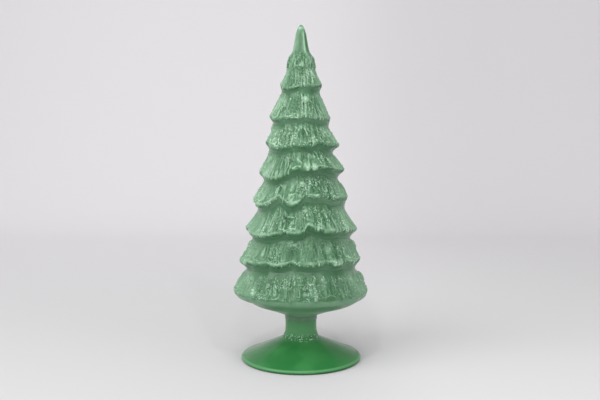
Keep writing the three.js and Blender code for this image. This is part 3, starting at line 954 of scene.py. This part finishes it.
# The spire and the shoulder under it. Pairs are the heights between which something begins or ends.
spireForm = {
    "outline": [(10.1, 209.0), (10.0, 211.0), (9.8, 213.1), (9.2, 215.2), (8.3, 217.4), (7.0, 219.5),
                (5.9, 221.7), (5.2, 224.6), (4.5, 228.9), (3.75, 233.1), (3.2, 235.2), (2.5, 237.3)],
    "tip": [(2.0, 238.4), (1.3, 239.3), (0.7, 239.8), (0, 240)],
    "inside": [(0, 214), (3.5, 213), (5.5, 211), (7.1, 209)],
    "segments": 200,
    "steps": 150,
    "smoothFrom": 236.5,
    "needlesBegin": (209, 210),
    "wrinklesEnd": (217, 221),
    "deepColourEnds": (216, 223),
    "highlightAndShadeStreaksEnd": (233, 236),
    "paleRing": (237.6, 0.9),  # its height and how wide it is
    "darkTip": (238.4, 239.2),
    # Painted streaks down the spire: (degrees to the right, width in degrees, how deep in colour): above 0 a
    # painted shade streak, below 0 a paler painted highlight
    "highlightAndShadeStreaks": [(-10, 15, 1.3), (27, 7, -1.0), (52, 14, 0.8), (-60, 12, -0.4), (130, 30, 0.5),
                (200, 14, -0.6)],
}


def makeSpire(glass):
    form = spireForm
    outside = smoothOutline(form["outline"], form["steps"]) + form["tip"]

    def relief(angle, radius, z):
        if z > form["smoothFrom"] or radius < 3:
            return 0
        around = ringPlace(angle, radius, z * 0.35)
        needle = clamp01(1 - abs(noise.noise(around / 1.5)) * 4) * smoothStep(*form["needlesBegin"], z)
        wrinkle = noise.noise(Vector((around.x, around.y, z * 0.5)) / 1.9)
        shoulder = 1 - smoothStep(*form["wrinklesEnd"], z)
        return needle * 0.45 * shoulder + wrinkle * (0.15 + 0.4 * shoulder)

    def paint(angle, radius, z):
        patch = noise.noise(ringPlace(angle, radius, z * 0.5) / 4.5) + 0.3
        shoulder = 1 - smoothStep(*form["deepColourEnds"], z)
        ringHeight, ringWidth = form["paleRing"]
        pale = math.exp(-((z - ringHeight) / ringWidth) ** 2) * 0.7
        dark = smoothStep(*form["darkTip"], z)
        # Painted highlights and painted shade in vertical streaks, fading out up the spire
        fade = 1 - smoothStep(*form["highlightAndShadeStreaksEnd"], z)
        for turn, width, depth in form["highlightAndShadeStreaks"]:
            away = (math.degrees(angle) - turn + 180) % 360 - 180
            streak = depth * math.exp(-(away / width) ** 2) * (1 - shoulder) * fade
            pale, dark = pale + max(0, -streak), dark + max(0, streak)
        return pale, clamp01(patch * shoulder + dark + 0.3 + shoulder * 0.2), 0.15 + shoulder * 0.85

    piece = turnedPiece("tree_spire", outside + form["inside"], form["segments"], glass, relief, paint)
    settle(piece, "tree_body")


undersideForm = {
    "outline": [(11.6, 32.4), (16.0, 34.1), (24.3, 37.3), (35.9, 41.3), (42.4, 45.4)],
    "inside": [(39.4, 45.4), (36, 43), (24, 39.6), (10, 37.4), (6, 35.4), (6, 32.4)],
    "segments": 220,
    "steps": 60,
    "unevenFrom": (12, 20),  # radii between which the glass turns uneven, and even again
    "unevenTo": (38, 42),
    # radii between which the painted light on the underside fades out
    "paintedLightTo": (30, 40),
}


def makeUnderside(glass):
    form = undersideForm

    def relief(angle, radius, z):
        share = smoothStep(*form["unevenFrom"], radius) * (1 - smoothStep(*form["unevenTo"], radius))
        return noise.noise(ringPlace(angle, radius, z) / 14) * 0.35 * share

    def slipped(radius, angle):
        return undersideAt(radius, math.degrees(angle)) if radius > neckForm["radius"] else radius

    # The underside is painted paler towards the neck, as painted light in its shade, and a little deeper in
    # colour all over
    def paint(angle, radius, z):
        return 0.35 * (1 - smoothStep(*form["paintedLightTo"], radius)), 0.35, 0

    outline = smoothOutline(form["outline"], form["steps"]) + form["inside"]
    piece = turnedPiece("tree_underside", outline, form["segments"], glass, relief, paint, slipped)
    settle(piece, "tree_body")


def arcPoints(centreR, centreZ, halfWidth, halfHeight, start, stop, steps):
    turns = (math.radians(start + (stop - start) * i / steps) for i in range(steps + 1))
    return [(centreR + halfWidth * math.cos(t), centreZ + halfHeight * math.sin(t)) for t in turns]


neckForm = {
    "radius": 11.6, "bulge": 0.1, "bore": 6.0, "segments": 144,
    "bulgeTurns": (-80, 80), "bulgeSteps": 16,
}


def makeNeckRing(glass):
    form = neckForm
    half = (neckTop - stemTop) / 2
    side = arcPoints(form["radius"] - form["bulge"], stemTop + half, form["bulge"] * 2, half,
                     *form["bulgeTurns"], form["bulgeSteps"])
    outline = [(stemForm["radius"], stemTop), *side, (form["radius"], neckTop), (form["bore"], neckTop),
               (form["bore"], stemTop)]

    def paint(angle, radius, z):
        return 0, 0.4, 0

    piece = turnedPiece("neck_ring_glass", outline, form["segments"], glass, paintAt=paint)
    settle(piece, "neck_ring")


stemForm = {
    "radius": 11.3, "flare": 1.1, "flareShare": 0.6, "bore": 6.0, "steps": 40, "segments": 180,
    "wrinklesBegin": (0, 0.05),  # shares of the way up between which the wrinkles begin and end
    "wrinklesEnd": (0.1, 0.45),
}


def makeStem(glass):
    form = stemForm
    tall = stemTop - footTop
    side = []
    for step in range(form["steps"] + 1):
        share = step / form["steps"]
        flare = form["flare"] * max(0, 1 - share / form["flareShare"]) ** 2
        side.append((form["radius"] + flare, footTop + tall * share))

    def relief(angle, radius, z):
        if radius < form["radius"] - 1:
            return 0
        share = (z - footTop) / tall
        wrinkle = noise.noise(ringPlace(angle, radius, z * 1.3) / 2) * 0.5
        wrinkle *= 1 - smoothStep(*form["wrinklesEnd"], share)
        return wrinkle * smoothStep(*form["wrinklesBegin"], share)

    outline = [*side, (form["bore"], stemTop), (form["bore"], footTop)]
    piece = turnedPiece("stem_glass", outline, form["segments"], glass, relief)
    settle(piece, "stem")


footForm = {
    "radius": 43.4, "rimThickness": 3.0, "slope": 24.0, "wall": 3.5, "fillet": 3.0, "segments": 220,
    "restInner": 38.4, "restOuter": 41.8, "restLift": 0.9, "rimTurns": (-88, 70), "rimSteps": 20,
}


def makeFoot(glass):
    form = footForm
    rimHalf = form["rimThickness"] / 2
    slope = math.tan(math.radians(form["slope"]))
    domeStart = stemForm["radius"] + stemForm["flare"]
    domeTop = footTop - form["fillet"] * 0.8
    bore = stemForm["bore"]

    def domeAt(radius):
        return (radius, domeTop - (radius - domeStart - form["fillet"]) * slope)
    rim = arcPoints(form["restOuter"], rimHalf, form["radius"] - form["restOuter"], rimHalf,
                    *form["rimTurns"], form["rimSteps"])
    dome = [domeAt(form["radius"] * share / 100) for share in range(93, 36, -3)]
    fillet = [domeAt(domeStart + form["fillet"]), (domeStart + 1.0, footTop - 1.2), (domeStart, footTop)]
    roofRadius, roofZ = domeAt(bore + 2 * form["wall"])
    inside = [(bore, footTop), (bore, roofZ - form["wall"] + 1), (roofRadius, roofZ - form["wall"]),
              (form["restInner"] - form["restLift"], form["restLift"]), (form["restInner"], 0)]
    outline = [(form["restOuter"], 0), *rim, *dome, *smoothOutline(fillet, 10), *inside]
    piece = turnedPiece("foot_glass", outline, form["segments"], glass)
    settle(piece, "foot")


bpy.context.scene.view_settings.view_transform = "Standard"
makeCamera(cameraView)
makeSurround()
makeLamps()
makeSweep()
print("studio ready")
milkyGlass = makeTreeGlass()
deepGlass = makeFootGlass()
makeTiers(milkyGlass)
print("tiers ready")
makeSpire(milkyGlass)
makeUnderside(milkyGlass)
makeNeckRing(milkyGlass)
makeStem(deepGlass)
makeFoot(deepGlass)
print("pieces ready")
